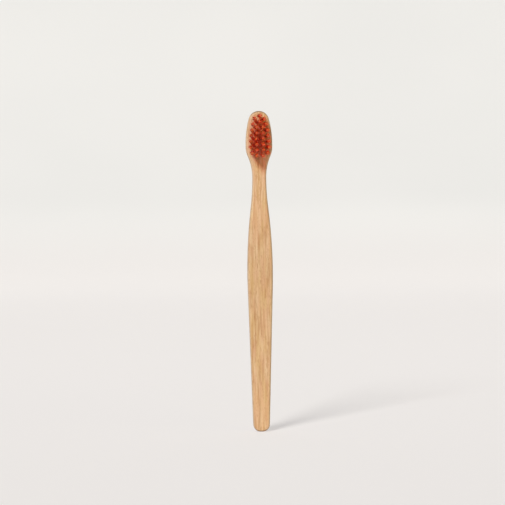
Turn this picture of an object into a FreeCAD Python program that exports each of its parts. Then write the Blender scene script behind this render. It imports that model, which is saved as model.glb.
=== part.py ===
"""Wooden toothbrush: a one-piece beech handle, its bristle tufts, and the metal anchor that pins each tuft.

The handle is cut from a flat board to a curved outline, thinned at the back of the neck and head,
and rounded over along both faces. Blind holes are drilled into the head from the front. Each tuft is
a bundle of filaments folded in two round a small flat anchor and driven into its hole, where the
ends of the anchor bite into the wood on both sides.

Millimetres. The origin is the lowest point of the handle's butt, midway through the board.
+Z runs up the handle to the head, X across its width, and the bristles point along -Y.
"""

import FreeCAD
import Part
import math
import os

from FreeCAD import Vector

# Handle, seen from the front
overall_length = 175.0
head_width = 14.4
crown_inset = 1.6  # the crown's radius is this much less than half the head's width
widest_from_tip = 17.5
side_length = 2.0  # the head keeps its full width for this much
shoulder_length = 16.5  # from there down to the neck's narrowest place
shoulder_share = 0.3  # the shoulder's radius, as a part of the sum of its own and the hollow's below it
neck_width = 7.5
flare_length = 52.5  # from the neck's narrowest place down to the grip's widest
hollow_share = 0.32  # the hollow's radius, as a part of the sum of its own and the grip's
grip_width = 13.8
grip_drop = 4.0  # from the grip's widest place down to the corner that its taper would start from
butt_width = 9.0
butt_corner_spacing = 1.2  # between the centres of the butt's two round corners
butt_end_radius = 10.0  # of the flatter arc that joins them

# Handle, seen from the side
grip_thickness = 6.4
head_thickness = 5.4
relief_from_tip = 30.0  # the back keeps the head's thickness down to here
relief_length = 34.0  # and reaches the grip's thickness this much lower
edge_radius = 1.4
edge_share_of_wall = 0.45  # the edges' radius is at most this part of the board's thickness

# Tufts
hole_diameter = 1.7
hole_floor = 1.6  # wood left under a hole
edge_land = 1.9  # wood between a hole and the outline
column_land = 1.8  # wood between the two inner columns
row_land = 1.36  # wood between the holes of one column
crown_rows = (0, 2)  # rows with a single tuft in the middle, counted from the crown
field_length = 21.5  # the most that the rows may span
place_tolerance = 0.000001  # how closely the outer columns' places are worked out
bristle_length = 10.5  # from the head's face to the trimmed ends
bundle_clearance = 0.02
bundle_ridges = 6  # groups of filaments that stand out round a tuft
valley_share = 0.8  # radius in the valleys between them, as a part of the radius over them
tuft_splay = 0.2  # gain in radius from the head's face to the trimmed ends
tip_gap = 0.1  # air between the ends of two tufts

# Anchors
anchor_thickness = 0.3
anchor_height = 1.3
anchor_bite = 0.2  # how far each end cuts into the wood
anchor_angle = 30.0  # turned out of the rows, so that neighbours' cuts don't line up along the grain
fold_thickness = 0.65  # bristle under the anchor
fold_bevel = 0.4  # how much the fold draws in at its two sides
fold_seat = 0.1  # gap under the fold

# Places that follow from the sizes above
crown_radius = head_width / 2 - crown_inset
crown_z = overall_length - crown_radius
widest_z = overall_length - widest_from_tip
shoulder_z = widest_z - side_length
neck_z = shoulder_z - shoulder_length
grip_z = neck_z - flare_length
butt_corner_radius = (butt_width - butt_corner_spacing) / 2
front_y = -grip_thickness / 2
back_y = grip_thickness / 2
head_back_y = front_y + head_thickness
rim_radius = min(edge_radius, edge_share_of_wall * min(head_thickness, grip_thickness))

hole_radius = hole_diameter / 2
hole_depth = head_thickness - hole_floor
edge_inset = edge_land + hole_radius
inner_column_x = column_land / 2 + hole_radius
half_pitch = (row_land + hole_diameter) / 2
fold_bottom = fold_seat - hole_depth
bundle_radius = hole_radius - bundle_clearance
tip_radius = bundle_radius + tuft_splay
root_radius = bundle_radius + tuft_splay * fold_bottom / bristle_length
anchor_bottom = fold_bottom + fold_thickness
anchor_length = hole_diameter + 2 * anchor_bite


def on_outline(x, z):
    """A point in the plane that the outline is drawn in."""
    return Vector(x, 0, z)


def arc(start, middle, end):
    """An arc edge through three points."""
    return Part.Arc(start, middle, end).toShape()


def crown_end():
    """Where the crown passes into the flank, and the centre of the flank's arc.

    The flank is upright at the head's widest place and touches the crown from outside, which fixes its
    centre.
    """
    rise = crown_z - widest_z
    reach = (rise**2 - crown_inset**2) / (2 * crown_inset)
    end = on_outline(0, crown_z) + on_outline(reach, rise).normalize() * crown_radius
    return end, on_outline(-reach, widest_z)


def flank():
    """The arc from the crown down to the head's widest place."""
    start, centre = crown_end()
    end = on_outline(head_width / 2, widest_z)
    radius = (end - centre).Length
    middle = centre + ((start + end) / 2 - centre).normalize() * radius
    return arc(start, middle, end)


def ogee(top, bottom, upper_share):
    """Two arcs that touch each other and are upright at their far ends.

    The end points fix the sum of the two radii, and upper_share is the upper arc's part of it.
    """
    width = bottom.x - top.x
    height = top.z - bottom.z
    radii = (width**2 + height**2) / (2 * abs(width))
    outwards = math.copysign(1, width)
    upper = upper_share * radii
    lower = radii - upper
    turn = math.asin(height / radii)

    def below_top(angle):
        return top + on_outline(outwards * (1 - math.cos(angle)), -math.sin(angle)) * upper

    def above_bottom(angle):
        return bottom + on_outline(outwards * (math.cos(angle) - 1), math.sin(angle)) * lower

    return [
        arc(top, below_top(turn / 2), below_top(turn)),
        arc(above_bottom(turn), above_bottom(turn / 2), bottom),
    ]


def butt_corner_centre():
    """The centre of the butt's right-hand corner, which touches the arc of the end from inside."""
    x = butt_corner_spacing / 2
    below_end_centre = math.sqrt((butt_end_radius - butt_corner_radius) ** 2 - x**2)
    return on_outline(x, butt_end_radius - below_end_centre)


def taper_ends():
    """The corner that the grip's taper would start from, and where the taper touches the butt's corner."""
    corner = on_outline(grip_width / 2, grip_z - grip_drop)
    centre = butt_corner_centre()
    away = corner - centre
    angle = math.atan2(away.z, away.x) - math.acos(butt_corner_radius / away.Length)
    return corner, centre + on_outline(math.cos(angle), math.sin(angle)) * butt_corner_radius


def taper():
    """A long arc in place of the corner, and the straight run down to the butt."""
    corner, touch = taper_ends()
    along = (touch - corner).normalize()
    start = on_outline(grip_width / 2, grip_z)
    end = corner + along * grip_drop
    half_turn = math.acos(-along.z) / 2
    corner_to_arc = grip_drop * (1 - math.cos(half_turn)) / math.sin(half_turn)
    middle = corner + ((start + end) / 2 - corner).normalize() * corner_to_arc
    return [arc(start, middle, end), Part.makeLine(end, touch)]


def butt_corner():
    """The arc from the taper round to the butt's end, and the point where it passes into the end."""
    _, start = taper_ends()
    centre = butt_corner_centre()
    end_centre = on_outline(0, butt_end_radius)
    end = end_centre + (centre - end_centre).normalize() * butt_end_radius
    middle = centre + ((start + end) / 2 - centre).normalize() * butt_corner_radius
    return arc(start, middle, end), end


def outline_wire():
    """The handle's closed outline, the same on both sides of X = 0."""
    widest = on_outline(head_width / 2, widest_z)
    shoulder = on_outline(head_width / 2, shoulder_z)
    neck = on_outline(neck_width / 2, neck_z)
    grip = on_outline(grip_width / 2, grip_z)
    crown_right, _ = crown_end()
    corner, butt_right = butt_corner()
    right = [flank(), Part.makeLine(widest, shoulder)]
    right += ogee(shoulder, neck, shoulder_share) + ogee(neck, grip, hollow_share)
    right += taper() + [corner]
    left = [edge.mirror(Vector(0, 0, 0), Vector(1, 0, 0)) for edge in right]
    crown = arc(on_outline(-crown_right.x, crown_right.z), on_outline(0, overall_length), crown_right)
    butt = arc(on_outline(-butt_right.x, butt_right.z), on_outline(0, 0), butt_right)
    return Part.Wire(Part.__sortEdges__([crown, butt] + right + left))


def side_profile():
    """The board from the side: a flat front, and a back that eases in from the grip to the head."""
    relief_top = overall_length - relief_from_tip
    relief_bottom = relief_top - relief_length
    ease = Vector(0, 0, relief_length / 2)
    head_back = Vector(0, head_back_y, relief_top)
    grip_back = Vector(0, back_y, relief_bottom)
    corners = [
        head_back,
        Vector(0, head_back_y, overall_length + edge_radius),
        Vector(0, front_y, overall_length + edge_radius),
        Vector(0, front_y, -edge_radius),
        Vector(0, back_y, -edge_radius),
        grip_back,
    ]
    relief = Part.BezierCurve()
    relief.setPoles([grip_back, grip_back + ease, head_back - ease, head_back])
    flats = [Part.makeLine(a, b) for a, b in zip(corners, corners[1:])]
    return Part.Wire(flats + [relief.toShape()])


def runs_round_a_face(edge):
    """Whether an edge borders the front or the back, and doesn't cross the board's width or thickness."""
    if edge.Curve.TypeId != "Part::GeomLine":
        return True
    direction = edge.Curve.Direction
    return abs(direction.z) > max(abs(direction.x), abs(direction.y))


def blank():
    """The handle before drilling: the outline through the side profile, with rounded edges."""
    depth = grip_thickness + head_thickness
    width = head_width + grip_width
    outline = Part.Face(outline_wire())
    outline.translate(Vector(0, -depth, 0))
    profile = Part.Face(side_profile())
    profile.translate(Vector(-width, 0, 0))
    board = outline.extrude(Vector(0, 2 * depth, 0)).common(profile.extrude(Vector(2 * width, 0, 0)))
    rims = [edge for edge in board.Edges if runs_round_a_face(edge)]
    return board.makeFillet(rim_radius, rims)


def outer_column_x(outline, z):
    """How far out a hole at this height can be and keep its land to the outline, found by halving."""
    inside = 0.0
    outside = head_width / 2
    while outside - inside > place_tolerance:
        x = (inside + outside) / 2
        if Part.Vertex(on_outline(x, z)).distToShape(outline)[0] < edge_inset:
            outside = x
        else:
            inside = x
    return inside


def tuft_places():
    """Name and place (x, z) of each tuft, row by row from the crown.

    Rows take turns between tufts in the middle and two outer columns, which keep one distance from the
    outline. In the crown there is room for one tuft in the middle, and below it for two inner columns. A
    place is used if its hole and its splayed ends stay clear of those already placed.
    """
    outline = outline_wire()
    least_spacing = tip_gap + max(hole_diameter, 2 * tip_radius)
    places = {}
    for row in range(int(field_length / half_pitch) + 1):
        z = overall_length - edge_inset - row * half_pitch
        outer_x = outer_column_x(outline, z)
        inner_x = min(inner_column_x, outer_x)
        if row in crown_rows:
            sides = {"centre": 0.0}
        elif row % 2 == 0:
            sides = {"left": -inner_x, "right": inner_x}
        else:
            sides = {"left": -outer_x, "right": outer_x}
        for side, x in sides.items():
            spacings = [math.hypot(x - other_x, z - other_z) for other_x, other_z in places.values()]
            if min(spacings, default=least_spacing) >= least_spacing:
                places[f"{row + 1:02d}_{side}"] = (x, z)
    return places


def seated(shape, place):
    """A copy of a piece drawn along +Z from the head's face, turned out of the face and set in place."""
    x, z = place
    out_of_face = FreeCAD.Placement(Vector(x, front_y, z), FreeCAD.Rotation(Vector(1, 0, 0), 90))
    copy = shape.copy()
    copy.Placement = out_of_face * shape.Placement
    return copy


def anchor():
    """A flat strip of wire on edge, longer than the hole is wide."""
    corner = Vector(-anchor_length / 2, -anchor_thickness / 2, anchor_bottom)
    strip = Part.makeBox(anchor_length, anchor_thickness, anchor_height, corner)
    strip.rotate(Vector(0, 0, 0), Vector(0, 0, 1), anchor_angle)
    return strip


def flat_face(points):
    """The flat face inside a closed polygon."""
    return Part.Face(Part.makePolygon(points + points[:1]))


def ridged_ring(radius, z):
    """Corners of a ring of ridges and valleys, as the groups of filaments in a tuft stand."""
    points = []
    for corner in range(2 * bundle_ridges):
        angle = math.pi * corner / bundle_ridges
        reach = radius if corner % 2 else radius * valley_share
        points.append(Vector(reach * math.cos(angle), reach * math.sin(angle), z))
    return points


def bundle():
    """The filaments of a tuft together, splaying from the fold to the trimmed ends."""
    root = ridged_ring(root_radius, fold_bottom)
    ends = ridged_ring(tip_radius, bristle_length)
    sides = [flat_face([root[i - 1], root[i], ends[i], ends[i - 1]]) for i in range(len(root))]
    return Part.Solid(Part.Shell([flat_face(root), flat_face(ends)] + sides))


def fold_space():
    """The space that a folded bundle takes: it draws in at the bottom, on both sides of the anchor."""
    bevel_top = fold_bottom + fold_bevel
    half = [
        (tip_radius, bristle_length),
        (tip_radius, bevel_top + tip_radius - root_radius),
        (root_radius - fold_bevel, fold_bottom),
    ]
    corners = [Vector(-tip_radius, y, z) for y, z in half]
    corners += [Vector(-tip_radius, -y, z) for y, z in reversed(half)]
    space = flat_face(corners).extrude(Vector(2 * tip_radius, 0, 0))
    space.rotate(Vector(0, 0, 0), Vector(0, 0, 1), anchor_angle)
    return space


def tuft():
    """One tuft: the bundle, folded at its root and slotted for the anchor."""
    return bundle().common(fold_space()).cut(anchor())


def handle(places):
    """The blank with a hole for each tuft and the two small cuts that each anchor makes beside it."""
    hole = Part.makeCylinder(hole_radius, hole_depth, Vector(0, 0, 0), Vector(0, 0, -1))
    cutter = hole.fuse(anchor())
    return blank().cut([seated(cutter, place) for place in places.values()])


def save(shape, name):
    """Writes one sub-part."""
    shape.exportStep(os.path.join("parts", name + ".step"))


def main():
    os.makedirs("parts", exist_ok=True)
    places = tuft_places()
    one_tuft = tuft()
    one_anchor = anchor()
    save(handle(places), "handle")
    for name, place in places.items():
        save(seated(one_tuft, place), "tuft_" + name)
        save(seated(one_anchor, place), "anchor_" + name)
    print(f"{len(places)} tufts in holes {hole_depth:.2f} deep, {2 * half_pitch:.2f} apart along a column")


main()
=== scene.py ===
# %% [markdown]
# A wooden toothbrush
#
# The brush is one beech handle, tufts of nylon bristle folded into holes in its head, and a small metal
# anchor in each hole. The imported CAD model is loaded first, as a fixed frame in metres: it says where every
# piece is, and the pieces made below are set where it says. +Z runs up the handle to the head, and the
# bristles point along -Y, towards the camera.

import bmesh
import bpy
import math
import numpy as np
from mathutils import Matrix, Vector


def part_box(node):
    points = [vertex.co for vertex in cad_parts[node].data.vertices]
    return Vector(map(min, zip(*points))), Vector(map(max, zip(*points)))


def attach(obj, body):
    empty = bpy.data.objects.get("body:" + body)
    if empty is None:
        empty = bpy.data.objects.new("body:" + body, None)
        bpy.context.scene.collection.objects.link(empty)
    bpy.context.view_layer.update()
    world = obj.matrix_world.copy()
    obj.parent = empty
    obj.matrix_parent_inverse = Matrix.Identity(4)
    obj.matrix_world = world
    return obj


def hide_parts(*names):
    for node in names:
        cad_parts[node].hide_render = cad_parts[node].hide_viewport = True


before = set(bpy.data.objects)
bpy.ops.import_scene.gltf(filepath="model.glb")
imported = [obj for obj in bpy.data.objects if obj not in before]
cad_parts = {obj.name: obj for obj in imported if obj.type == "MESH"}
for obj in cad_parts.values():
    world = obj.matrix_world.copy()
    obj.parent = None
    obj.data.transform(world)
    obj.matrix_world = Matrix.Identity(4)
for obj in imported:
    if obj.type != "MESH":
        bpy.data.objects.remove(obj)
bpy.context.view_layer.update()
mm = 0.001

handle_low, handle_high = (np.array(corner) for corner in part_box("handle"))
tuft_names = sorted(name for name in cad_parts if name.startswith("tuft_"))
anchor_names = sorted(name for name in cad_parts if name.startswith("anchor_"))
print(f"frame: {len(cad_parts)} nodes, {len(tuft_names)} tufts, handle {handle_high - handle_low} m")

# %% [markdown]
# The camera
#
# The brush stands on its butt and is seen from the front, from about the height of its head. A long lens
# from over a metre away keeps its sides from converging. Where both ends of the brush fall in the picture
# settles the rest: the angle between them gives the lens, and the two directions together turn the camera.

# %% Where the camera stands and looks
picture_side = 505  # pixels
tip_pixel = (258.55, 111.0)  # where the tip of the head is seen
butt_pixel = (261.6, 431.1)  # where the end of the butt is seen
eye_distance = 1.2
eye_height = 0.158
eye_turn = math.radians(-2.6)  # a little to the left of straight on
focal_span = (800, 4000)  # the focal lengths to try, in pixels
focal_tries = 32001


def unit(vectors):
    """Vectors of length 1 along the last axis."""
    vectors = np.asarray(vectors, float)
    return vectors / np.linalg.norm(vectors, axis=-1, keepdims=True)


def pixel_direction(pixel, focal):
    """Direction of a pixel for focal lengths in pixels, in the camera's axes: right, up and backwards."""
    focal = np.asarray(focal, float)
    right = (pixel[0] - picture_side / 2) / focal
    up = (picture_side / 2 - pixel[1]) / focal
    return unit(np.stack([right, up, -np.ones_like(focal)], axis=-1))


def axes_from(first, second):
    """Three axes as columns: the first direction, the one across both, and the one that completes them."""
    across = unit(np.cross(first, second))
    return np.stack([first, across, np.cross(across, first)], axis=-1)


eye = np.array([eye_distance * math.sin(eye_turn), -eye_distance * math.cos(eye_turn), eye_height])
to_tip = unit(np.array([0, 0, handle_high[2]]) - eye)
to_butt = unit(np.array([0, 0, handle_low[2]]) - eye)
focal_choices = np.linspace(*focal_span, focal_tries)
tip_choices = pixel_direction(tip_pixel, focal_choices)
butt_choices = pixel_direction(butt_pixel, focal_choices)
seen_cosines = np.sum(tip_choices * butt_choices, axis=-1)
focal = float(np.interp(to_tip @ to_butt, seen_cosines, focal_choices))
seen_axes = axes_from(pixel_direction(tip_pixel, focal), pixel_direction(butt_pixel, focal))
camera_axes = axes_from(to_tip, to_butt) @ seen_axes.T
print(f"camera: at {eye}, looking along {-camera_axes[:, 2]}")

# %% Make the camera
sensor_width = 36.0
nearest_seen = 0.01


def set_up(name, data, axes, place):
    """A camera or a lamp at a place, with its own axes as the columns of a matrix."""
    pose = np.eye(4)
    pose[:3, :3] = axes
    pose[:3, 3] = place
    made = bpy.data.objects.new(name, data)
    made.matrix_world = Matrix(pose.tolist())
    bpy.context.scene.collection.objects.link(made)
    return made


camera_data = bpy.data.cameras.new("camera")
camera_data.sensor_width = sensor_width
camera_data.lens = focal * sensor_width / picture_side
camera_data.clip_start = nearest_seen
bpy.context.scene.camera = set_up("camera", camera_data, camera_axes, eye)
print(f"camera: lens {camera_data.lens:.1f} mm")

# %% [markdown]
# The handle's outline
#
# The maker saws a board to an outline: a round crown, full flanks, a slim neck, a grip that swells and then
# tapers to a blunt butt with round corners. It could be drawn by hand as a curve, but it is a chain of arcs
# and straight runs, each of which takes over where the last one leaves off, so the direction that the edge
# faces never jumps. Each run gives both the points of the right-hand edge and the way it faces at each.

# %% Runs of an outline
outline_step = 0.45 * mm
fewest_arc_steps = 6


def arc_run(centre, radius, first, last):
    """Points and outward normals along an arc, as rows (x, z, normal x, normal z).

    The normal turns from the first angle to the last, and each point is the centre plus the radius times
    the normal. A negative radius makes a hollow. The last point is left for the next run to give.
    """
    count = max(fewest_arc_steps, math.ceil(abs(radius * (last - first)) / outline_step))
    angle = np.linspace(first, last, count, endpoint=False)
    normal = np.stack([np.cos(angle), np.sin(angle)], axis=-1)
    return np.hstack([np.array(centre) + radius * normal, normal])


def line_run(start, end, facing):
    """Points along a straight edge that all face one way. The last is left for the next run to give."""
    count = math.ceil(math.dist(start, end) / outline_step)
    share = np.linspace(0, 1, count, endpoint=False)[:, None]
    points = np.array(start) + share * (np.array(end) - np.array(start))
    return np.hstack([points, np.broadcast_to(facing, points.shape)])


def ogee_runs(top, bottom, upper_share):
    """Two arcs that touch, upright at their far ends: out of a wide place into a narrow one, or back.

    The sum of the radii is (width squared + height squared) / (2 width), and upper_share is the upper arc's
    part of it.
    """
    width = bottom[0] - top[0]
    height = top[1] - bottom[1]
    radii = (width**2 + height**2) / (2 * abs(width))
    inwards = -math.copysign(1, width)
    upper = upper_share * radii
    lower = radii - upper
    slope = -inwards * math.asin(height / radii)
    return [
        arc_run((top[0] - inwards * upper, top[1]), inwards * upper, 0, slope),
        arc_run((bottom[0] + inwards * lower, bottom[1]), -inwards * lower, slope, 0),
    ]


print(f"runs: points {outline_step / mm:.2f} mm apart")

# %% Outline of the handle
length = handle_high[2] - handle_low[2]
head_half = (handle_high[0] - handle_low[0]) / 2
crown_radius = head_half - 1.6 * mm
widest_z = length - 17.5 * mm
shoulder_z = widest_z - 2.0 * mm
shoulder_share = 0.3  # the shoulder's radius, as a part of the sum of its own and the hollow's below it
neck_half = 3.75 * mm
neck_z = shoulder_z - 16.5 * mm
hollow_share = 0.32  # the hollow's radius, as a part of the sum of its own and the grip's
grip_half = 6.9 * mm
grip_z = neck_z - 52.5 * mm
taper_drop = 4.0 * mm  # from the grip's widest place down to where the line of the taper leaves its upright
butt_corner_x = 0.6 * mm
butt_corner_radius = 3.9 * mm
butt_end_radius = 10.0 * mm


def handle_outline():
    """The right-hand edge from the tip of the crown to the butt, run by run.

    Two arcs touch where their centres and a point of the edge are in line, which places the flank's arc
    round the crown's and the butt's corner inside its end. The taper is the straight line that leaves the
    grip's upright and touches the butt's corner, and an arc eases the grip into it.
    """
    inset = head_half - crown_radius
    rise = length - crown_radius - widest_z
    flank_offset = (rise**2 - inset**2) / (2 * inset)
    crown_slope = math.atan2(rise, flank_offset)
    below_end_centre = math.sqrt((butt_end_radius - butt_corner_radius) ** 2 - butt_corner_x**2)
    butt_corner = np.array([butt_corner_x, butt_end_radius - below_end_centre])
    away = np.array([grip_half, grip_z - taper_drop]) - butt_corner
    taper_slope = math.atan2(away[1], away[0]) - math.acos(butt_corner_radius / math.hypot(*away))
    taper_radius = taper_drop / math.tan(-taper_slope / 2)
    taper_centre = np.array([grip_half - taper_radius, grip_z])
    facing = np.array([math.cos(taper_slope), math.sin(taper_slope)])
    taper_ends = (taper_centre + taper_radius * facing, butt_corner + butt_corner_radius * facing)
    end_slope = math.atan2(-below_end_centre, butt_corner_x)
    runs = [arc_run((0, length - crown_radius), crown_radius, math.pi / 2, crown_slope)]
    runs += [arc_run((-flank_offset, widest_z), flank_offset + head_half, crown_slope, 0)]
    runs += [line_run((head_half, widest_z), (head_half, shoulder_z), (1, 0))]
    runs += ogee_runs((head_half, shoulder_z), (neck_half, neck_z), shoulder_share)
    runs += ogee_runs((neck_half, neck_z), (grip_half, grip_z), hollow_share)
    runs += [arc_run(taper_centre, taper_radius, 0, taper_slope), line_run(*taper_ends, facing)]
    runs += [arc_run(butt_corner, butt_corner_radius, taper_slope, end_slope)]
    runs += [arc_run((0, butt_end_radius), butt_end_radius, end_slope, -math.pi / 2)]
    runs += [np.array([[0, 0, 0, -1.0]])]  # the lowest point, facing down
    return np.vstack(runs)


outline = handle_outline()
print(f"outline: {len(outline)} points, widest {2 * outline[:, 0].max() / mm:.2f} mm")

# %% [markdown]
# The handle's surface
#
# A router then rounds both edges of the board over, and sanding thins the back of the neck and head. So the
# handle is one profile, from the middle of the front over the rounded edge to the middle of the back,
# carried along the outline. Seen from the front the profile stands square to the edge, which keeps the
# round-over even where the outline bends. The left half is the mirror image of the right.

# %% Grid of the handle
front_y = handle_low[1]
back_y = handle_high[1]
head_back_y = front_y + 5.4 * mm
relief_top = length - 30.0 * mm
relief_length = 34.0 * mm
relief_steps = 201
edge_radius = 1.4 * mm
face_steps = 14
edge_steps = 8
wall_steps = 4


def back_of(z):
    """Where the back is at each height: full thickness below the relief, the head's above, eased between.

    The ease is a cubic with both handles half its length long, so it starts and ends level.
    """
    t = np.linspace(0, 1, relief_steps)
    rise = relief_top - relief_length + relief_length * (1.5 * t * (1 - t) + t**3)
    return np.interp(z, rise, back_y + (head_back_y - back_y) * (3 * t**2 - 2 * t**3))


def handle_grid():
    """Points of the handle: rows follow the outline, columns go once round the section.

    across is the share of the flat face, out the distance from the inner end of the round-over towards
    the edge, through the share of the thickness, and lift how far the round-over stands off the faces.
    With the points comes their roundness: 0 on the flat faces and 1 on the wall between them.
    """
    flat = np.linspace(0, 1, face_steps, endpoint=False)
    bend = np.linspace(0, math.pi / 2, edge_steps + 1)
    wall = np.linspace(0, 1, wall_steps + 1)[1:-1]
    across = np.concatenate([flat, np.ones(2 * len(bend) + len(wall)), flat[::-1]])
    out = edge_radius * np.concatenate([0 * flat, np.sin(bend), 1 + 0 * wall, np.cos(bend), 0 * flat])
    through = np.concatenate([0 * flat, 0 * bend, wall, 1 + 0 * bend, 1 + 0 * flat])
    lift = edge_radius * np.concatenate(
        [0 * flat, 1 - np.cos(bend), 1 - 2 * wall, np.sin(bend) - 1, 0 * flat]
    )
    edge = outline[:, None, :2]
    normal = outline[:, None, 2:]
    inner = edge - edge_radius * normal
    x = across * inner[..., 0] + out * normal[..., 0]
    z = inner[..., 1] + out * normal[..., 1]
    y = (1 - through) * front_y + through * back_of(z) + lift
    right = np.stack([x, y, z], axis=-1)
    left = right[:, -2:0:-1] * np.array([-1, 1, 1])
    points = np.hstack([right, left])
    roundness = np.concatenate([out, out[-2:0:-1]]) / edge_radius
    return points, np.broadcast_to(roundness, points.shape[:2])


handle_points, handle_roundness = handle_grid()
# this also masks the painted shade at the butt's end, along with the darker end grain
cut_across = handle_roundness * np.abs(outline[:, 3:])  # how squarely the wood is cut across its grain
print(f"handle: a grid of {handle_points.shape[0]} rows and {handle_points.shape[1]} columns")

# %% From a grid to a piece
merge_distance = 1e-7  # points nearer than this become one


def grid_faces(rows, columns, copies=1, closed=True):
    """Corner numbers of the quads over a grid, for several grids in a row.

    In a closed grid the last column is joined to the first, as on a tube. An open one is a sheet.
    """
    quads_across = columns if closed else columns - 1
    row, column = np.meshgrid(np.arange(rows - 1), np.arange(quads_across), indexing="ij")
    beside = (column + 1) % columns
    here = row * columns
    next_row = here + columns
    quads = np.stack([here + column, here + beside, next_row + beside, next_row + column], axis=-1)
    return (quads.reshape(-1, 4) + rows * columns * np.arange(copies)[:, None, None]).reshape(-1, 4)


def piece_from_rings(name, points, **values):
    """An object from points of shape (copies, rows, columns, 3), with its values stored on the vertices.

    Rows that shrink to a point become poles when doubles are merged, and each closed shell is turned
    outwards after that.
    """
    copies, rows, columns, _ = points.shape
    mesh = bpy.data.meshes.new(name)
    mesh.from_pydata(points.reshape(-1, 3).tolist(), [], grid_faces(rows, columns, copies).tolist())
    for title, value in values.items():
        layer = mesh.attributes.new(title, "FLOAT", "POINT")
        on_vertices = np.broadcast_to(value, points.shape[:3]).ravel()
        layer.data.foreach_set("value", on_vertices.astype(np.float32))
    shell = bmesh.new()
    shell.from_mesh(mesh)
    bmesh.ops.remove_doubles(shell, verts=shell.verts, dist=merge_distance)
    bmesh.ops.recalc_face_normals(shell, faces=shell.faces)
    shell.to_mesh(mesh)
    shell.free()
    mesh.shade_smooth()
    piece = bpy.data.objects.new(name, mesh)
    bpy.context.scene.collection.objects.link(piece)
    return piece


handle = piece_from_rings(
    "beech_handle", handle_points[None], edge=handle_roundness[None], end=cut_across[None]
)
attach(handle, "root")
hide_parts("handle")
print(f"handle: {len(handle.data.polygons)} faces")

# %% [markdown]
# The drilled holes
#
# A drill makes one blind hole for each tuft, and breaks the wood's edge a little at the mouth. The holes
# could be faked with dark discs, but between the bristles one can look into them. So the shape that the
# drill sweeps is turned from one profile, set at every tuft's place, and taken away from the handle.

# %% Drill the holes
hole_radius = 0.85 * mm
hole_depth = 3.8 * mm
mouth_break = 0.07 * mm  # how far the wood's edge is broken at the mouth
drill_clearance = 1.0 * mm  # how far the drill's shape stands out of the face
drill_sides = 28
sharp_angle = math.radians(40)  # edges that bend more than this stay crisp

tuft_boxes = np.array([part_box(name) for name in tuft_names])
tuft_places = tuft_boxes.mean(axis=1)[:, [0, 2]]


def drill_sweep():
    """The drill's shape at each place: a profile (radius, distance out of the face) turned round the hole.

    The turn starts half a step on, so that no corner of a hole meets the middle line of the handle's grid.
    """
    mouth_radius = hole_radius + mouth_break
    radius = np.array([0, hole_radius, hole_radius, mouth_radius, mouth_radius, 0])
    stand = np.array([-hole_depth, -hole_depth, -mouth_break, 0, drill_clearance, drill_clearance])
    angle = (np.arange(drill_sides) + 0.5) * 2 * math.pi / drill_sides
    x = tuft_places[:, 0, None, None] + radius[:, None] * np.cos(angle)
    z = tuft_places[:, 1, None, None] + radius[:, None] * np.sin(angle)
    y = np.broadcast_to(front_y - stand[:, None], x.shape)
    return np.stack([x, y, z], axis=-1)


drill = piece_from_rings("drill", drill_sweep())
cut = handle.modifiers.new("holes", "BOOLEAN")
cut.operation = "DIFFERENCE"
cut.solver = "EXACT"
cut.object = drill
drilled = bpy.data.meshes.new_from_object(handle.evaluated_get(bpy.context.evaluated_depsgraph_get()))
handle.modifiers.remove(cut)
handle.data = drilled
bpy.data.objects.remove(drill)
handle.data.set_sharp_from_angle(angle=sharp_angle)
print(f"drilled handle: {len(handle.data.polygons)} faces, {len(tuft_places)} holes")

# %% [markdown]
# Finishes made of nodes
#
# A finish is a small tree of shader nodes: patterns and stored values on one side, the Principled shader on
# the other, and colours mixed in between. It could be wired by hand in the shader editor. Here a few short
# helpers add the nodes and join them, so that each finish below reads as a list of its layers.

# %% A material to start from


def add(tree, kind, settings=None, sockets=None):
    """Adds a shader node and gives its first output.

    A socket is given a plain value, or a link when the value is another node's output.
    """
    made = tree.nodes.new("ShaderNode" + kind)
    for name, value in (settings or {}).items():
        setattr(made, name, value)
    for key, value in (sockets or {}).items():
        if isinstance(value, bpy.types.NodeSocket):
            tree.links.new(value, made.inputs[key])
        else:
            made.inputs[key].default_value = value
    return made.outputs[0]


def new_material(name):
    """A material whose shader is joined to its output: the material, its node tree and the shader."""
    material = bpy.data.materials.new(name)
    material.use_nodes = True
    tree = material.node_tree
    tree.nodes.clear()
    shader = tree.nodes.new("ShaderNodeBsdfPrincipled")
    output = tree.nodes.new("ShaderNodeOutputMaterial")
    tree.links.new(shader.outputs["BSDF"], output.inputs["Surface"])
    return material, tree, shader


beech, tree, shader = new_material("oiled_beech")
print(f"beech: starts with {len(tree.nodes)} nodes")

# %% [markdown]
# Noise with a direction
#
# Wood, drawn wire, nylon and paper all vary from place to place, in blotches of different shapes: long
# along the grain or the strand, round in paper. Each could have a noise texture and a mapping of its own.
# Instead one node group serves them all: it divides the place by the size of a blotch along each axis and
# takes soft noise there, and every finish sets its own sizes.

# %% Stretched noise


def point_of(tree):
    """The shaded point in metres. Objects sit at the origin, so this is its place in the frame too."""
    return add(tree, "TexCoord").node.outputs["Object"]


def stretched_noise_group():
    """A node group: soft noise in space whose blotches have a given size along each axis."""
    group = bpy.data.node_groups.new("stretched_noise", "ShaderNodeTree")
    group.interface.new_socket("Blotch", in_out="INPUT", socket_type="NodeSocketVector")
    group.interface.new_socket("Detail", in_out="INPUT", socket_type="NodeSocketFloat")
    group.interface.new_socket("Value", in_out="OUTPUT", socket_type="NodeSocketFloat")
    inside = group.nodes.new("NodeGroupInput").outputs
    outside = group.nodes.new("NodeGroupOutput").inputs
    scaled = add(group, "VectorMath", {"operation": "DIVIDE"}, {0: point_of(group), 1: inside["Blotch"]})
    value = add(group, "TexNoise", None, {"Vector": scaled, "Scale": 1.0, "Detail": inside["Detail"]})
    group.links.new(value, outside["Value"])
    return group


noise_group = stretched_noise_group()


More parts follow.
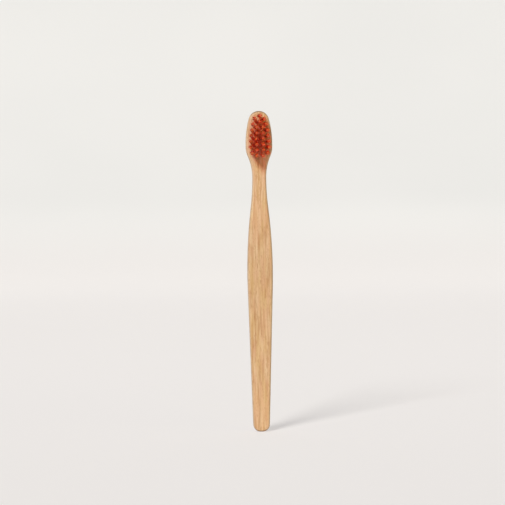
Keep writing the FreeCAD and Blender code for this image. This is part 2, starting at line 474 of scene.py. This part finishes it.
def noise(tree, blotch, detail=2.0):
    """The shared noise with blotches of this size in metres, along X, Y and Z."""
    placed = tree.nodes.new("ShaderNodeGroup")
    placed.node_tree = noise_group
    placed.inputs["Blotch"].default_value = blotch
    placed.inputs["Detail"].default_value = detail
    return placed.outputs["Value"]


print(f"stretched noise: {len(noise_group.nodes)} nodes")

# %% [markdown]
# Beech
#
# Beech is pale and even, with soft streaks along the grain and many short brown flecks, where thin sheets of
# cells come to the surface. All of it runs up the handle, so every pattern is read in space and stretched
# along Z: on the ends of the brush it then shows as dots, as end grain does. The rounded edges are paler,
# partly as wood sanded through and partly as a painted sheen where the round-over catches the light. Oil
# darkens wood: the grip has taken up a little more of it than the neck. The end grain, at the butt and the
# crown, is much darker, partly from the oil it takes up and partly as painted shade where the butt faces the
# floor.

# %% Flecks of beech
fleck_core = 0.15  # shares of a cell: a mark is full up to here
fleck_rim = 0.5  # and gone from here on
fleck_onset = 0.25  # how much further a cell's random number goes until its mark is at its strongest


def ramp(tree, value, low, high, to_low=0.0, to_high=1.0):
    """A value rescaled from one span to another with a soft start and end."""
    spans = {"Value": value, "From Min": low, "From Max": high, "To Min": to_low, "To Max": to_high}
    return add(tree, "MapRange", {"interpolation_type": "SMOOTHSTEP"}, spans)


def flecks(tree, point, cell, least):
    """A mask of short marks along the grain, one in each cell whose random number is high enough.

    A mark is strongest at its cell's centre and fades out before it reaches the next.
    """
    scaled = add(tree, "VectorMath", {"operation": "DIVIDE"}, {0: point, 1: cell})
    cells = add(tree, "TexVoronoi", None, {"Vector": scaled, "Scale": 1.0}).node
    chosen = add(tree, "SeparateColor", None, {"Color": cells.outputs["Color"]})
    near = ramp(tree, cells.outputs["Distance"], fleck_core, fleck_rim, 1.0, 0.0)
    kept = ramp(tree, chosen, least, least + fleck_onset)
    return add(tree, "Math", {"operation": "MULTIPLY"}, {0: near, 1: kept})


point = point_of(tree)
long_fleck = flecks(tree, point, (0.7 * mm, 0.7 * mm, 4.2 * mm), 0.6)
fine_fleck = flecks(tree, point, (0.34 * mm, 0.34 * mm, 1.9 * mm), 0.5)
print(f"flecks: {len(tree.nodes)} nodes")

# %% Tones of beech


def tone(red, green, blue):
    """A colour given as it looks on a screen, 0 to 255, as the light that shaders reckon with.

    This is the screen's curve: a straight run near black, and above it a power of 2.4.
    """
    share = np.array([red, green, blue]) / 255
    linear = np.where(share <= 0.04045, share / 12.92, ((share + 0.055) / 1.055) ** 2.4)
    return (*(float(value) for value in linear), 1.0)


dark_streak = tone(197, 150, 106)
pale_streak = tone(231, 199, 161)
yellow_patch = tone(217, 178, 121)
pink_blush = tone(223, 174, 140)
# painted sheen: the rounded edges are paler, partly sanded wood and partly the light that they catch
sanded_edge_painted_sheen = tone(216, 192, 163)
long_fleck_brown = tone(180, 126, 78)
fine_fleck_brown = tone(176, 124, 80)
pore_brown = tone(180, 132, 90)
oiled_grip = (0.88, 0.88, 0.86, 1.0)  # the part of its light that the oiled grip keeps
# the end grain: darker from oil, and partly painted shade where the butt faces the floor
oiled_end_painted_shade = (0.47, 0.4, 0.35, 1.0)  # and the end grain
oiled_below = 0.085  # the height up to which the grip is oiled
dry_above = 0.135  # and from which the wood is drier
print(f"tones of beech: streaks from {np.round(dark_streak, 3)} to {np.round(pale_streak, 3)}")

# %% Layers of beech


def blend(tree, amount, first, second, way="MIX"):
    """A mix of two colours."""
    return add(tree, "MixRGB", {"blend_type": way}, {"Fac": amount, "Color1": first, "Color2": second})


def stored(tree, title):
    """A value that is stored on the piece's vertices."""
    return add(tree, "Attribute", {"attribute_name": title}).node.outputs["Fac"]


streak = noise(tree, (0.85 * mm, 0.85 * mm, 14 * mm), 3.0)
patch = noise(tree, (3.0 * mm, 3.0 * mm, 22 * mm), 1.0)
blush = noise(tree, (2.2 * mm, 2.2 * mm, 12 * mm), 1.0)
pore = noise(tree, (0.14 * mm, 0.14 * mm, 1.3 * mm), 2.0)
rounded = stored(tree, "edge")
cut_end = stored(tree, "end")
up = add(tree, "SeparateXYZ", None, {0: point}).node.outputs["Z"]

colour = blend(tree, ramp(tree, streak, 0.32, 0.68), dark_streak, pale_streak)
colour = blend(tree, ramp(tree, patch, 0.4, 0.65, 0.0, 0.5), colour, yellow_patch)
colour = blend(tree, ramp(tree, blush, 0.42, 0.68, 0.0, 0.5), colour, pink_blush)
# painted sheen on the round-over, partly sanded-through wood
colour = blend(tree, ramp(tree, rounded, 0.25, 0.9, 0.0, 0.5), colour, sanded_edge_painted_sheen)
colour = blend(tree, ramp(tree, long_fleck, 0.0, 1.0, 0.0, 0.55), colour, long_fleck_brown)
colour = blend(tree, ramp(tree, fine_fleck, 0.0, 1.0, 0.0, 0.5), colour, fine_fleck_brown)
colour = blend(tree, ramp(tree, pore, 0.35, 0.7, 0.2, 0.0), colour, pore_brown)
colour = blend(tree, ramp(tree, up, oiled_below, dry_above, 1.0, 0.0), colour, oiled_grip, "MULTIPLY")
# darker end grain, partly from oil and partly painted shade at the butt, which faces the floor
colour = blend(tree, ramp(tree, cut_end, 0.25, 0.95), colour, oiled_end_painted_shade, "MULTIPLY")
tree.links.new(colour, shader.inputs["Base Color"])
print(f"layers of beech: {len(tree.nodes)} nodes")

# %% Touch of beech
grain_depth = 0.06 * mm
grain_strength = 0.25

tree.links.new(ramp(tree, streak, 0.3, 0.7, 0.42, 0.56), shader.inputs["Roughness"])
grain = add(tree, "Math", {"operation": "ADD"}, {0: pore, 1: streak})
bump = add(tree, "Bump", None, {"Strength": grain_strength, "Distance": grain_depth, "Height": grain})
tree.links.new(bump, shader.inputs["Normal"])
handle.data.materials.clear()
handle.data.materials.append(beech)
print(f"beech: {len(tree.nodes)} nodes")

# %% [markdown]
# The tufts
#
# A tuft is a small bundle of nylon strands, folded in two round a flat anchor that a machine drives into the
# hole. So each strand is one thin tube carried along a path: down one side of the anchor, round its lower
# edge and up the other side. From the mouth of the hole a tuft splays: its core stays dense, and the
# outermost strands lean out over the wood until the tufts all but meet. All strands of a tuft are worked out
# together, with a random lean for each, and both ends are rounded, as the ends of good bristles are ground.

# %% Seats of the strands
strand_radius = 0.09 * mm
strand_pitch = 0.186 * mm  # from the middle of one strand to the next
bundle_radius = 0.83 * mm
seat_rows = 6
seat_columns = 6  # on each side of the middle one


def strand_seats():
    """Places of the strands on one side of the anchor, in staggered rows: u along it, v away from it.

    Each second row is shifted by half a pitch, rows are half the root of 3 of a pitch apart, and the seats
    whose strand lies inside the bundle are kept.
    """
    row_gap = strand_pitch * math.sqrt(3) / 2
    column_span = np.arange(-seat_columns, seat_columns + 1)
    row, column = np.meshgrid(np.arange(seat_rows), column_span, indexing="ij")
    u = (column + 0.5 * (row % 2)) * strand_pitch
    v = (row + 0.5) * row_gap
    inside = np.hypot(u, v) <= bundle_radius - strand_radius
    return u[inside], v[inside]


seat_u, seat_v = strand_seats()
print(f"seats: {len(seat_u)} strands, each with two free ends")

# %% Paths of the strands
core_spread = 1.12  # how much wider the middle of a tuft is at the tips than at the hole's mouth
rim_spread = 1.7  # how much more than that strands on the rim of the hole would splay
rim_power = 6  # how sharply the splay grows towards the rim
strand_lean = 0.12 * mm  # how far strands stray at their tips
tuft_lean = 0.08 * mm  # and whole tufts
uneven_trim = 0.16 * mm  # how much shorter than the trim a strand may be
anchor_half = 0.15 * mm  # half the anchor's thickness
anchor_top = -1.75 * mm  # its edges, as heights above the wood
anchor_bottom = -3.05 * mm
fold_deepest = 0.54 * mm  # how far below it the outermost strands pass
fold_steps = 5
root_radius = 0.76 * mm  # of the bundle, beside the anchor
leg_shares = np.array([1, 0.55, 0.2, 0.0])  # where a free leg has rings, from the tip to the hole's mouth
strand_seed = 28
random = np.random.default_rng(strand_seed)


def strand_paths(free):
    """Middle lines of a tuft's strands as places (u, v, h), of shape (rows, strands, 3), and their turn.

    h is the height above the wood, and free that of the trim. The rows go down the free leg in three spans
    and on into the hole, round half an ellipse under the anchor, and up again. A leg's place is its seat,
    and from the mouth to the tip the splay and the leans grow with the height. The turn is 0 on the way
    down and half a circle on the way up.
    """
    count = len(seat_u)
    spread = core_spread + rim_spread * (np.hypot(seat_u, seat_v) / bundle_radius) ** rim_power
    squeeze = (seat_v - seat_v.min()) / (seat_v.max() - seat_v.min())
    v_anchor = anchor_half + strand_radius + squeeze * (root_radius - 2 * strand_radius - anchor_half)
    fold_depth = strand_radius + squeeze * (fold_deepest - strand_radius)
    shorter = random.uniform(0, uneven_trim, (2, count))
    lean = random.normal(0, strand_lean, (2, 2, count)) + random.normal(0, tuft_lean, (2, 1, 1))
    grown = leg_shares[:, None]
    splay = 1 + (spread - 1) * grown

    def leg(side):
        """Places down the leg on one side of the anchor, of shape (rows, strands, 3)."""
        way = 1 - 2 * side
        tip = free - shorter[side] - strand_radius
        u = np.concatenate([seat_u * splay + lean[0, side] * grown, seat_u[None]])
        v = np.concatenate([way * seat_v * splay + lean[1, side] * grown, way * v_anchor[None]])
        h = np.concatenate([grown * tip, np.full((1, count), anchor_top)])
        return np.stack([u, v, h], axis=-1)

    turn = np.linspace(0, math.pi, fold_steps)
    across = v_anchor * np.cos(turn)[:, None]
    below = anchor_bottom - fold_depth * np.sin(turn)[:, None]
    fold = np.stack([np.broadcast_to(seat_u, across.shape), across, below], axis=-1)
    straight = np.zeros(len(leg_shares) + 1)
    path = np.concatenate([leg(0), fold, leg(1)[::-1]])
    return path, np.concatenate([straight, turn, straight + math.pi])


print(f"paths: {2 * len(leg_shares) + 2 + fold_steps} places along each strand")

# %% Tubes along the paths
strand_sides = 6
tip_rings = np.radians([90, 45])  # the rounded end: its pole, and a ring half way down


def strand_tubes(path, turn):
    """Rings along the paths: three arrays for u, v and h, each of shape (rings, strands, sides).

    One axis of a ring lies along u, and the other turns with the path. Each end gets more rings, for its
    rounded tip: at an angle above the last full ring, the radius is the angle's cosine times the
    strand's, and the rise its sine times the same.
    """
    more = len(tip_rings)
    angle_up = np.concatenate([tip_rings, np.zeros(len(path)), tip_rings[::-1]])
    path = np.pad(path, ((more, more), (0, 0), (0, 0)), mode="edge")
    turn = np.pad(turn, more, mode="edge")[:, None]
    radius = strand_radius * np.cos(angle_up)[:, None]
    rise = strand_radius * np.sin(angle_up)[:, None]
    around = np.linspace(0, 2 * math.pi, strand_sides, endpoint=False)
    along_u = radius * np.cos(around)
    along_turn = radius * np.sin(around)
    u = path[..., 0, None] + along_u[:, None]
    v = path[..., 1, None] + (np.cos(turn) * along_turn)[:, None]
    h = path[..., 2, None] + (rise - np.sin(turn) * along_turn)[:, None]
    return u, v, h


print(f"tubes: {strand_sides} sides, {len(tip_rings)} rings in each rounded end")

# %% Tufts
anchor_angle = math.radians(30)
outer_lean = 0.44 * mm  # how far the outermost tufts lean outwards at their tips
outer_power = 3  # how sharply that lean grows towards them
outermost_x = tuft_places[:, 0].max()


def tuft_strands(place, free):
    """Points of a tuft's strands, of shape (strands, rings, sides, 3), and their share of the trim's height.

    The tuft is turned by the anchor's angle and set at its place, and leans outwards more and more with the
    height, the more the further from the middle it stands.
    """
    u, v, h = strand_tubes(*strand_paths(free))
    reach = np.clip(h / free, 0, 1)
    outwards = outer_lean * (place[0] / outermost_x) ** outer_power * reach
    x = place[0] + outwards + u * math.cos(anchor_angle) - v * math.sin(anchor_angle)
    z = place[1] + u * math.sin(anchor_angle) + v * math.cos(anchor_angle)
    points = np.stack([x, front_y - h, z], axis=-1)
    return points.transpose(1, 0, 2, 3), reach.transpose(1, 0, 2)


tufts = []
for name, place, box in zip(tuft_names, tuft_places, tuft_boxes):
    points, reach = tuft_strands(place, front_y - box[0, 1])
    shade = random.uniform(0, 1, len(points))[:, None, None]
    tuft = piece_from_rings(name.replace("tuft", "bristles"), points, reach=reach, shade=shade)
    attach(tuft, "root")
    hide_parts(name)
    tufts.append(tuft)
print(f"tufts: {len(tufts)} of {2 * len(seat_u)} bristles, {len(tufts[0].data.polygons)} faces each")

# %% [markdown]
# Nylon bristle
#
# The nylon is dyed orange red and lets light through. Glass-like strands would take long to render, so only
# shadow rays pass: each wall that one crosses takes out much of its blue and green and little of its red,
# and what reaches the wood behind the tufts is reddish. The ends are ground, and are painted paler than the
# shafts, partly for the grinding and partly as a painted highlight where they catch the light. The shafts
# are painted darker towards the roots, deepening to crimson, as painted shade inside the tuft.

# %% Colours of nylon
# painted shade: the shafts darken to crimson towards the roots, where the tuft shades them
root_crimson_painted_shade = tone(180, 8, 3)
shaft_red = tone(230, 42, 15)
# the ground ends, paler partly for the grinding and partly as a painted highlight where they catch the light
ground_end_painted_highlight = tone(255, 158, 104)
paler_strand = tone(226, 74, 36)
dark_speckle = tone(176, 22, 10)

nylon, tree, shader = new_material("nylon")
up_shaft = stored(tree, "reach")
own_shade = stored(tree, "shade")
speckle = noise(tree, (0.3 * mm, 1.2 * mm, 0.3 * mm), 1.0)
# painted shade, deepening from the trim down to the roots
colour = blend(tree, ramp(tree, up_shaft, 0.1, 0.95), root_crimson_painted_shade, shaft_red)
# painted highlight on the ends, which are also ground
colour = blend(tree, ramp(tree, up_shaft, 0.955, 0.985), colour, ground_end_painted_highlight)
colour = blend(tree, ramp(tree, own_shade, 0.0, 1.0, 0.0, 0.25), colour, paler_strand)
colour = blend(tree, ramp(tree, speckle, 0.35, 0.65, 0.0, 0.25), colour, dark_speckle)
tree.links.new(colour, shader.inputs["Base Color"])
tree.links.new(ramp(tree, speckle, 0.3, 0.7, 0.3, 0.42), shader.inputs["Roughness"])
print(f"colours of nylon: {len(tree.nodes)} nodes")

# %% Light in nylon
strand_wall = (0.912, 0.55, 0.25, 1.0)  # the light that one wall of a strand lets through
most_walls = 96  # how many walls a ray of light may cross

shader.inputs["Specular IOR Level"].default_value = 0.25
shader.inputs["Subsurface Weight"].default_value = 0.5
shader.inputs["Subsurface Radius"].default_value = (1.0, 0.3, 0.12)
shader.inputs["Subsurface Scale"].default_value = 0.4 * mm
passed = add(tree, "BsdfTransparent", None, {"Color": strand_wall})
shadow_ray = add(tree, "LightPath").node.outputs["Is Shadow Ray"]
surface = shader.outputs["BSDF"].links[0].to_socket
mixed = add(tree, "MixShader", None, {0: shadow_ray, 1: shader.outputs["BSDF"], 2: passed})
tree.links.new(mixed, surface)
bpy.context.scene.cycles.transparent_max_bounces = most_walls
for tuft in tufts:
    tuft.data.materials.append(nylon)
print(f"nylon: {len(tree.nodes)} nodes on {len(tufts)} tufts")

# %% [markdown]
# The anchors
#
# Each anchor is a snip of flat brass wire, out of sight at the bottom of its hole. The CAD solid has the
# right shape, so it stays and only gets its metal: drawn brass, dulled in places.

# %% Brass
bright_brass = tone(214, 176, 96)
dull_brass = tone(150, 112, 60)

brass, tree, shader = new_material("drawn_brass")
drawn = noise(tree, (0.6 * mm, 0.05 * mm, 0.6 * mm), 2.0)
dull = noise(tree, (0.4 * mm, 0.4 * mm, 0.4 * mm), 2.0)
colour = blend(tree, ramp(tree, dull, 0.35, 0.7, 0.0, 0.5), bright_brass, dull_brass)
tree.links.new(colour, shader.inputs["Base Color"])
tree.links.new(ramp(tree, drawn, 0.3, 0.7, 0.25, 0.45), shader.inputs["Roughness"])
shader.inputs["Metallic"].default_value = 1.0
for name in anchor_names:
    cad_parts[name].data.materials.clear()
    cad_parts[name].data.materials.append(brass)
print(f"brass on {len(anchor_names)} anchors")

# %% [markdown]
# The floor
#
# The brush stands in a studio sweep: a pale sheet that lies flat and curves up behind, so that no edge
# shows. A flat floor and an upright wall would meet in a line behind the brush. So the sheet is a profile of
# a flat run, a quarter round and an upright run, carried sideways.

# %% Sweep
floor_front = -0.3
floor_back = 1.1
sweep_radius = 0.6
sweep_height = 1.8
floor_half_width = 2.2
bend_steps = 33
sweep_columns = 9


def sweep_grid():
    """Points of the sheet: rows go back along the floor, round the bend and up, columns left to right."""
    bend = np.linspace(0, math.pi / 2, bend_steps)
    upright_y = floor_back + sweep_radius
    profile_y = np.concatenate([[floor_front], floor_back + sweep_radius * np.sin(bend), [upright_y]])
    profile_z = np.concatenate([[0], sweep_radius * (1 - np.cos(bend)), [sweep_height]]) + handle_low[2]
    across = np.linspace(-floor_half_width, floor_half_width, sweep_columns)
    return np.stack(np.broadcast_arrays(across, profile_y[:, None], profile_z[:, None]), axis=-1)


sweep_points = sweep_grid()
sweep_faces = grid_faces(*sweep_points.shape[:2], closed=False)
floor_mesh = bpy.data.meshes.new("floor")
floor_mesh.from_pydata(sweep_points.reshape(-1, 3).tolist(), [], sweep_faces.tolist())
floor_mesh.shade_smooth()
floor = bpy.data.objects.new("floor", floor_mesh)
bpy.context.scene.collection.objects.link(floor)
print(f"floor: {len(sweep_faces)} faces")

# %% [markdown]
# Paper
#
# The sheet is matt paper, a little cloudy. In the studio many lamps light it until it is almost white. Here
# it glows a little by itself instead: less on the floor than behind, so that the brush still throws a soft
# shadow, and least where it bends up and begins to face the lamp.

# %% Paper
floor_paper = tone(172, 170, 168)
upright_paper = tone(125, 125, 123)
paper_cloud = tone(166, 164, 162)
floor_glow = tone(237, 234, 235)
bend_glow = tone(230, 227, 228)
upright_glow = tone(251, 250, 249)
glow_strength = 0.605

paper, tree, shader = new_material("paper")
cloud = noise(tree, (0.25, 0.25, 0.25), 2.0)
along = add(tree, "SeparateXYZ", None, {0: point_of(tree)}).node.outputs
colour = blend(tree, ramp(tree, along["Z"], -0.02, 0.1), floor_paper, upright_paper)
colour = blend(tree, ramp(tree, cloud, 0.3, 0.7, 0.0, 0.1), colour, paper_cloud)
tree.links.new(colour, shader.inputs["Base Color"])
shader.inputs["Roughness"].default_value = 0.9
shader.inputs["Specular IOR Level"].default_value = 0.1
glow = blend(tree, ramp(tree, along["Y"], 0.2, 1.0), floor_glow, bend_glow)
glow = blend(tree, ramp(tree, along["Z"], 0.015, 0.08), glow, upright_glow)
tree.links.new(glow, shader.inputs["Emission Color"])
shader.inputs["Emission Strength"].default_value = glow_strength
floor_mesh.materials.append(paper)
print(f"paper: {len(tree.nodes)} nodes")

# %% [markdown]
# The light
#
# One soft lamp stands in front, high on the left. It throws the pale shadow that falls back to the right,
# and the darker one of the bristles on the neck. It is a sun, so that the floor is as bright far away as it
# is near, and its width in the sky makes the shadows soft. A weak, broad, warm lamp on the right lifts the
# shadows. The sweep ends a little in front of the brush: a long one would throw light back up into the
# bristles, and the spaces between them are dark. Past its end the camera sees a plain pale backdrop that
# gives no light.

# %% Lamps


def lamp(name, turn, elevation, strength, width, colour):
    """A sun of this colour, turned so many degrees to the left of the front and raised so many.

    The lamp's own axes are the level one across, the one that completes them, and the way to the lamp.
    width is how many degrees of the sky it fills.
    """
    aside = math.radians(turn)
    raised = math.radians(elevation)
    level = math.cos(raised)
    way = np.array([-math.sin(aside) * level, -math.cos(aside) * level, math.sin(raised)])
    across = unit(np.cross([0, 0, 1], way))
    data = bpy.data.lights.new(name, "SUN")
    data.energy = strength
    data.angle = math.radians(width)
    data.color = colour
    return set_up(name, data, np.stack([across, np.cross(way, across), way], axis=-1), way)


key = lamp("key", turn=28, elevation=36, strength=3.05, width=17, colour=(1.0, 0.985, 0.96))
side = lamp("side", turn=-45, elevation=20, strength=0.65, width=46, colour=(1.0, 0.86, 0.42))
print(f"lamps: key {key.data.energy:.2f}, side {side.data.energy:.2f}")

# %% Surroundings
fill_strength = 0.04
fill_colour = (1.0, 0.9, 0.7, 1.0)
backdrop = tone(237, 233, 228)

world = bpy.data.worlds.new("studio")
world.use_nodes = True
tree = world.node_tree
tree.nodes.clear()
fill = add(tree, "Background", None, {"Color": fill_colour, "Strength": fill_strength})
seen = add(tree, "Background", None, {"Color": backdrop, "Strength": 1.0})
camera_ray = add(tree, "LightPath").node.outputs["Is Camera Ray"]
studio = add(tree, "MixShader", None, {0: camera_ray, 1: fill, 2: seen})
tree.links.new(studio, tree.nodes.new("ShaderNodeOutputWorld").inputs["Surface"])
bpy.context.scene.world = world
bpy.context.scene.view_settings.view_transform = "Standard"
print(f"surroundings: fill {fill_strength}")
